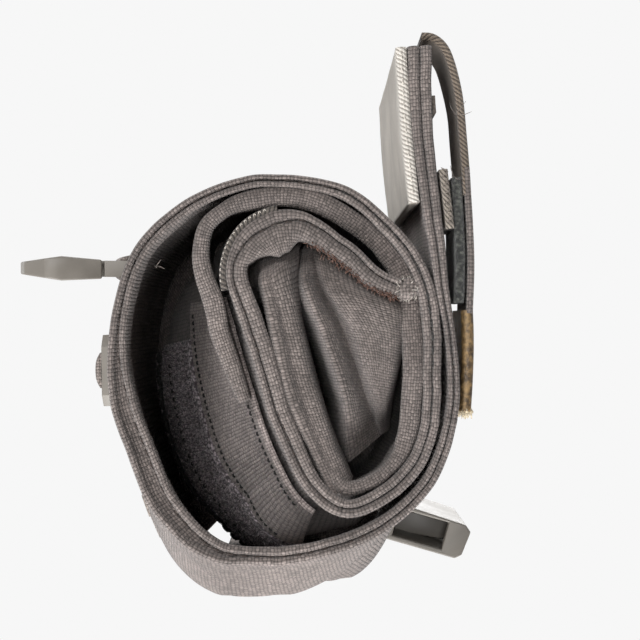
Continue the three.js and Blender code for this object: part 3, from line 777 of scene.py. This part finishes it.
def tuck_rows(outer_knots, inner_knots, count, insets, depths):
    """Control points of cloth tucked in from the outer wrap to the inner one, between their knots.

    insets are its distances from the two wraps, and depths how deep it lies at each."""
    rows = []
    for start, end in zip(np.linspace(*outer_knots, count), np.linspace(*inner_knots, count)):
        outer, inner = BAND.at(start, 73.0), BAND.at(end, 73.0)
        heading = unit(inner - outer)
        first, last = outer + heading * insets[0], inner - heading * insets[1]
        spots = [first + (last - first) * t for t in ACROSS]
        rows.append([[x, y, z] for (x, z), y in zip(spots, np.linspace(*depths, len(ACROSS)))])
    return rows


# ---- tapes on the inner wrap


def cloth_length(course, start, end, depth):
    """Length of a course between two knots at one depth, in metres."""
    q = course.knots(start, end, 0.5)
    spots = course.at(q, np.full_like(q, depth))
    return float(np.linalg.norm(np.diff(spots, axis=0), axis=1).sum()) * MM


def tape_piece(name, course, knots, face, depths, material, body, node, rows=10, seed=0):
    """A flat tape along a course, from knots[0] to knots[1] and from depths[0] to depths[1].

    face is its outer side's distance from the course and its thickness."""
    outer, thickness = face
    near, far = depths
    q = course.knots(*knots, 0.6)
    ones = np.ones_like(q)
    section = flat_section(outer * ones, (outer - thickness) * ones, near * ones, far * ones, rows)
    section = worn(q, course, *section, 60 + seed, swell=0.08, pucker=0.0, wander=0.15)
    obj = swept(name, course, q, section, material)
    finish_piece(obj, body, [node])
    flat = ((far - near) * MM, cloth_length(course, *knots, (near + far) / 2))
    return obj


def pile_curls(name, knots, outer, depths, count, seed):
    """Loop pile: small closed curls scattered over a tape on the band."""
    size = 0.45
    rng = np.random.default_rng(SEED + seed)
    q = rng.uniform(*knots, count)
    y = rng.uniform(*depths, count)
    spot = BAND.at(q, y)
    normal = BAND.normal(q, y)
    lines = []
    turn = np.linspace(0.15, 0.85, 6) * math.pi * 2
    for k in range(count):
        up = np.array([normal[k, 0], 0, normal[k, 1]])
        base = np.array([spot[k, 0], y[k], spot[k, 1]]) + up * outer
        lean = unit(rng.normal(0, 1, 3))
        r = size * rng.uniform(0.6, 1.1)
        side = np.cos(turn)[:, None] * up * -r + np.sin(turn)[:, None] * lean * r * 0.7
        lines.append(base + up * r * 0.75 + side)
    tubes(name, lines, 0.09, PILE_PAINTED_LIGHT, "root", sides=3)


def make_inner_tapes():
    hem = 2.9  # from the band's course to the face that the tapes lie on
    face = (hem + 0.6, 1.2)
    tape_piece("load_strap_cloth", BAND, (26.5, 30.6), face, (10, 37.5), WEBBING_PAINTED_LIGHT, "root",
               "load_strap", rows=16)
    tape_piece("pile_wide_cloth", BAND, (26.5, 30), face, (38.5, 58), PILE_PAINTED_LIGHT, "root",
               "loop_tape_wide", rows=12, seed=1)
    tape_piece("pile_narrow_cloth", BAND, (26.5, 29.8), face, (60, 72), PILE_PAINTED_LIGHT, "root",
               "loop_tape_narrow", rows=8, seed=2)
    pile_curls("pile_wide_curls", (26.6, 29.9), hem + 0.5, (39.5, 57), 3400, 3)
    pile_curls("pile_narrow_curls", (26.6, 29.9), hem + 0.5, (61, 71), 1900, 4)
    tape_piece("inner_edge_cloth", BAND, (30.7, 32.6), (3.4, 1.2), (0.4, 25), EDGE_TAPE, "root",
               "inner_edge_tape", seed=3)
    dots = []
    for y in (13, 34.5):
        dots += dashes(26.8, 30.5, y, hem + 0.62, 0.75, 0.6)
    dots += dashes(26.8, 29.8, 50, hem + 1.0, 0.8, 1.0)
    tubes("strap_stitches", dots, 0.26, BLACK_THREAD, "root")
    tubes("pile_seam_stitches", dashes(26.6, 29.9, 59, hem + 1.3, 2.4, 0.2), 0.45, BLACK_THREAD, "root")
    tubes("edge_tape_stitches", dashes(30.8, 32.5, 0.55, 3.1, 0.5, 0.5), 0.1, PALE_THREAD, "root")


def course_line(course, q, y, lift, depth):
    """Points at one depth, lifted off the course as it runs at depth y, and its normals there."""
    level = np.full_like(q, y)
    normal = course.normal(q, level)
    xz = course.at(q, level) + normal * np.reshape(lift, (-1, 1))
    line = np.stack([xz[:, 0], np.full_like(q, depth), xz[:, 1]], -1)
    return line, np.stack([normal[:, 0], 0 * q, normal[:, 1]], -1)


def dashes(start, end, y, lift, length, gap):
    """The stitches of a straight seam along the band at depth y."""
    return stitch_lines(*course_line(BAND, BAND.knots(start, end, 0.25), y, lift, y), length, gap)


def rim_dashes(course, q, lift, depth, length, gap, sink=0.4):
    """Stitches along a course's near rim, lying on the face that looks out of the roll."""
    line, _ = course_line(course, q, 0, lift, depth)
    return stitch_lines(line, np.tile([0, -1.0, 0], (len(q), 1)), length, gap, 0.1, sink)


HEM_STITCH = (1.7, 0.75)  # a hem stitch's length, and the gap to the next


def hem_stitches(name, start, end, depth, seed, thread):
    """Stitches that lie down in the groove between a hem's two rolls."""
    rng = np.random.default_rng(SEED + seed)
    q = BAND.knots(start, end, 0.3)
    groove = hem_outer(q) - hem_width(q) * groove_share(q)
    lines = rim_dashes(BAND, q, groove, depth, *HEM_STITCH, sink=0.5)
    tubes(name, [line + rng.normal(0, 0.08, 3) for line in lines], 0.17, thread, "root")


def make_trims():
    """The stitches of the hems, the frayed corner knob, its rusty seam and a few loose threads."""
    hem_stitches("outer_hem_stitches", PEEL + 0.2, TOP, 0.75, 31, DARK_THREAD)
    hem_stitches("second_hem_stitches", TOP, BOTTOM, 0.75, 32, BLACK_THREAD)
    hem_stitches("inner_hem_stitches", BOTTOM, 35.4, 0.9, 33, DARK_THREAD)
    rng = np.random.default_rng(SEED + 34)
    corner_seam_fray(rng)
    blob("corner_knob_cloth", (15.7, 2.4, 61.7), (2.2, 2.6, 2.0), 35)
    corner_knob_fray(rng)
    spots = [(-34.9, 1, 66.5, 2.4), (-29.6, 1.2, 65.8, 1.6), (-15.6, 1, 67.6, 1.4), (-8.2, 1, 73.2, 1.8),
             (-7.6, 1.4, 73.4, 1.5)]
    loose_threads("root", rng, spots)
    loose_threads("tab", rng, [(24.4, 1, 93.2, 3), (24.2, 1, 82, 2.2)])


def corner_seam_fray(rng):
    q = BAND.knots(33.3, 35.9, 0.2)
    line, _ = course_line(BAND, q, 0, hem_outer(q) - hem_width(q) + 0.15, 0)
    lines = []
    for _ in range(240):
        x, z = line[int(len(q) * rng.beta(1.6, 1.1)), ::2] + rng.normal(0, 0.22, 2)
        lean = rng.normal(0, 0.5, 3) + (0.2, 0, -0.3)
        base = np.array([x, rng.uniform(0.2, 1.0), z])
        lines.append([base, base + lean * 0.5 + (0, -0.4, 0), base + lean])
    tubes("corner_seam_fray", lines, 0.085, RUST_THREAD, "root")


def corner_knob_fray(rng):
    lines = []
    for _ in range(120):
        way = unit(rng.normal(0, 1, 3) * (1, 0.7, 1))
        base = np.array([15.9, 1.9, 61.8]) + way * (1.9, 2.2, 1.8)
        bend = rng.normal(0, 0.35, 3)
        lines.append([base, base + way * 0.3 + bend * 0.4, base + way * rng.uniform(0.2, 0.7) + bend])
    tubes("corner_knob_fray", lines, 0.07, PALE_THREAD, "root")


def loose_threads(body, rng, spots):
    """Three threads out of each spot, given as x, y, z and how far they reach."""
    lines = []
    for *spot, reach in spots:
        for _ in range(3):
            way = unit(rng.normal(0, 1, 3))
            middle = np.add(spot, way * reach * 0.5 + rng.normal(0, 0.2, 3))
            lines.append([spot, middle, np.add(spot, way * reach)])
    tubes(body + "_loose_threads", lines, 0.07, THREAD, body)


def blob(name, centre, radii, seed):
    """A small lumpy closed body of cloth."""
    mesh = bpy.data.meshes.new(name)
    work = bmesh.new()
    bmesh.ops.create_icosphere(work, subdivisions=5, radius=1)
    x, y, z = np.array([vert.co[:] for vert in work.verts]).T
    swell = 1 + 0.16 * noise2(x + 3, z + 3 + y, seed, 0.55)
    swell += 0.05 * noise2(x + 3, z + 3 - y, seed + 1, 0.16)
    made = place(np.stack([x, y, z], 1) * swell[:, None] * radii + centre)
    for vert, spot in zip(work.verts, made):
        vert.co = spot
    for face in work.faces:
        face.smooth = True
    map_cloth(work, lambda face: (0, 2))
    work.to_mesh(mesh)
    work.free()
    mesh.materials.append(CLOTH)
    finish_piece(add_object(name, mesh), "root")


def map_cloth(work, axes_of):
    """Give each face a cloth uv, in millimetres, along the two axes that axes_of says."""
    layer = work.loops.layers.uv.new("cloth")
    for face in work.faces:
        first, second = axes_of(face)
        for loop in face.loops:
            loop[layer].uv = (loop.vert.co[first] / MM, loop.vert.co[second] / MM)


# ---- the tab and the pull strap


def make_tab():
    q = TAB.knots(0, TAB_END, 0.6)
    outer = np.interp(q, [0, 4, TAB_END], [2, 1, 1.3])
    width = np.interp(q, [0, 3, 4.6, TAB_END], [4.4, 3.2, 2, 2.36])
    section = hemmed_section(outer, outer - width, outer - width / 2)
    obj = swept("tab_cloth", TAB, q, worn(q, TAB, *section, 80, swell=0.2), CLOTH)
    finish_piece(obj, None, ["band_tab"])
    cloth_length(TAB, 0, TAB_END, BAND_WIDTH / 2)
    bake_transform(obj)
    tape_piece("tab_facing_cloth", TAB, (0.0, 2.5), (-2.3, 2.0), (0.2, 75), FACING, "tab",
               "tab_facing_tape", seed=5)
    seam = rim_dashes(TAB, TAB.knots(0.05, 2.45, 0.3), -3.4, 0.15, 1.6, 0.6)
    tubes("facing_rim_stitches", seam, 0.14, PALE_THREAD, "tab")
    rng = np.random.default_rng(SEED + 41)
    zigzag = []
    for k, knot in enumerate(TAB.knots(2.05, 2.95, 0.8)):
        spot, normal = TAB.at(knot, 0.0), TAB.normal(knot, 0.0)
        a, b = (spot + normal * side for side in ((2.1, 3.3) if k % 2 else (3.3, 2.1)))
        x, z = (a + b) / 2
        zigzag.append([[a[0], 0.75, a[1]], [x, 0.55, z + 0.4], [b[0], 0.75, b[1] + 0.8]])
    tubes("knit_patch_zigzag", zigzag, 0.14, THREAD, "tab")
    rim = rim_dashes(TAB, TAB.knots(0.1, TAB_END - 0.1, 0.3), 0.35, 0.75, *HEM_STITCH)
    tubes("tab_hem_stitches", [line + rng.normal(0, 0.05, 3) for line in rim], 0.16, DARK_THREAD, "tab")
    tape_piece("knit_patch_cloth", TAB, (2.0, 3.0), (3.4, 1.6), (1, 21), KNIT, "tab",
               "tab_knit_patch", seed=6)
    tape_piece("tab_bartack_thread", TAB, (0.75, 1), (2.7, 0.6), (4, 21), THREAD, "tab",
               "tab_bartack", seed=7)


def make_pull_strap():
    depths = (2, 21)
    loop = tape_piece("pull_loop_cloth", LOOP, (0, 7.2), (1.0, 1.5), depths, RIBBON, None,
                      "pull_loop", seed=8, rows=14)
    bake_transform(loop)
    tape_piece("hook_backing_cloth", LOOP, (6.2, 10.2), (1.0, 1.2), depths, CLOTH, "pull_strap",
               "hook_backing", seed=9)
    tape_piece("hook_tape_cloth", LOOP, (6.6, 9.9), (-0.6, 1.9), depths, HOOKS, "pull_strap",
               "hook_tape", seed=10)
    tape_piece("closure_film_sheet", CLOSURE, (0, 3), (1.1, 2.2), depths, FILM, "pull_strap",
               "closure_film", seed=11)
    rng = np.random.default_rng(SEED + 51)
    lines = []
    for _ in range(220):
        y = rng.uniform(*depths)
        base = np.array([26.6 + rng.uniform(-1.0, 1.0), y, 39.9])
        way = np.array([rng.normal(0.15, 0.25), rng.normal(0, 0.2), -rng.uniform(0.5, 2.0)])
        lines.append([base, base + way * 0.5 + rng.normal(0, 0.12, 3), base + way])
    tubes("film_torn_edge", lines, 0.11, CREAM_THREAD, "pull_strap")


# ---- buckle straps and plastics


def make_buckle_straps():
    clear, web = 2.0, 1.3  # from the band's course to the straps, past half its hem, and their thickness
    outer = clear + web
    tape_piece("buckle_strap_cloth", BAND, (9.25, 13.25), (outer, web), (44.5, 69.5), WEBBING, "root",
               "buckle_strap", seed=12)
    tape_piece("strap_bartack_thread", BAND, (9.5, 9.75), (outer + 0.5, 0.6), (46.5, 67.5), THREAD, "root",
               "strap_bartack", seed=13)
    tape_piece("female_strap_cloth", BAND, (6.25, 8.25), (-clear, web), (60, 81.3), WEBBING, "root",
               "female_strap_root", seed=14)


def flat_axes(face):
    """The two axes of the plane that a face lies nearest to."""
    return np.delete([0, 1, 2], np.argmax(np.abs(face.normal)))


def round_edges(obj, radius):
    bevel = obj.modifiers.new("rounding", "BEVEL")
    bevel.width = radius * MM
    bevel.segments = 3
    return bevel


def rounded_copy(name, node, material, body, radius):
    """The CAD node's shape with its edges rounded."""
    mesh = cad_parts[node].data.copy()
    mesh.name = name
    work = bmesh.new()
    work.from_mesh(mesh)
    bmesh.ops.remove_doubles(work, verts=work.verts, dist=1e-6)
    bmesh.ops.dissolve_limit(work, angle_limit=math.radians(1), verts=work.verts, edges=work.edges)
    work.normal_update()
    map_cloth(work, flat_axes)
    work.to_mesh(mesh)
    work.free()
    mesh.polygons.foreach_set("use_smooth", np.ones(len(mesh.polygons), bool))
    mesh.materials.clear()
    mesh.materials.append(material)
    obj = add_object(name, mesh)
    bevel = round_edges(obj, radius)
    bevel.limit_method = "ANGLE"
    bevel.angle_limit = math.radians(25)
    bevel.harden_normals = True
    finish_piece(obj, body, [node])


def guide_rib():
    """The rib inside the female half that guides the tongue."""
    outline = [(16.5, 10.2), (24, 8.9), (31, 7.2), (33, 5.8), (32.8, 3.4), (30, 2.4), (23, 3.6), (16.5, 5)]
    middle, half = 94.2, 0.9
    count = len(outline)
    points = [(x, middle - half, z) for x, z in outline] + [(x, middle + half, z) for x, z in outline]
    faces = [tuple(range(count)), tuple(range(2 * count - 1, count - 1, -1))]
    faces += [(i, i + count, (i + 1) % count + count, (i + 1) % count) for i in range(count)]
    obj = make_object("female_guide_rib", points, faces, None, NYLON)
    round_edges(obj, 0.3)
    finish_piece(obj, "female_half")


# name, CAD node, body and the radius of its edges
PLASTICS = [
    ("male_frame_shell", "male_frame", "male_half", 0.35),
    ("male_arm_near_shell", "male_arm_near", "male_arm_near", 0.35),
    ("male_arm_far_shell", "male_arm_far", "male_arm_far", 0.35),
    ("female_housing", "female_shell", "female_half", 0.7),
    ("slider_plate", "strap_slider", "slider", 0.4),
]
WEBS = [
    ("male_strap_web", "male_strap_loop", "root"),
    ("female_strap_web", "female_strap_loop", "root"),
    ("slider_web", "slider_webbing", "slider"),
]


def make_plastics():
    for name, node, body, radius in PLASTICS:
        rounded_copy(name, node, NYLON, body, radius)
    guide_rib()
    for name, node, body in WEBS:
        rounded_copy(name, node, WEBBING, body, 0.3)


# ---- studio


# name, place, width and power of each lamp
LAMPS = [
    ("key", (-0.38, -0.8, 0.5), 0.3, 6),
    ("front", (-0.03, -1.3, 0.12), 0.2, 5),
    ("top", (0.05, -0.05, 0.9), 0.8, 5),
    ("back", (0.4, 0.7, 0.5), 0.7, 8),
    ("left", (-0.8, 0.3, 0.3), 0.7, 4),
    ("below", (-0.05, -0.2, -0.6), 0.6, 12),
]
LIT_SPOT = Vector((0.01, 0.0, 0.05))


def make_studio():
    """A pale floor and backdrop that the camera sees, and soft lamps that do the lighting, in metres."""
    world = bpy.data.worlds.new("studio")
    world.use_nodes = True
    world.node_tree.nodes["Background"].inputs["Color"].default_value = (*PALE, 1)
    bpy.context.scene.world = world
    world.cycles_visibility.diffuse = False
    g = Graph("studio floor")
    g.feed(g.output.inputs["Surface"], g.node("ShaderNodeEmission", {"Color": (*PALE, 1)})[0])
    size, sides, below = 8.0, 64, 0.0002
    angle = np.arange(sides) * 2 * math.pi / sides
    ring = np.stack([size * np.cos(angle), size * np.sin(angle), 0 * angle - below], 1)
    mesh = bpy.data.meshes.new("studio floor")
    mesh.from_pydata(ring.tolist(), [], [tuple(range(sides))])
    mesh.materials.append(g.material)
    floor = add_object("studio_floor", mesh)
    floor.visible_diffuse = False
    floor.visible_shadow = False
    for name, spot, size, power in LAMPS:
        data = bpy.data.lights.new(name, "AREA")
        data.size = size
        data.energy = power
        lamp = add_object(name, data)
        lamp.location = spot
        lamp.rotation_euler = (LIT_SPOT - lamp.location).to_track_quat("-Z", "Y").to_euler()


make_camera()
make_band()
make_core()
make_inner_tapes()
make_trims()
make_tab()
make_pull_strap()
make_buckle_straps()
make_plastics()
make_studio()
bpy.context.scene.view_settings.view_transform = "Standard"
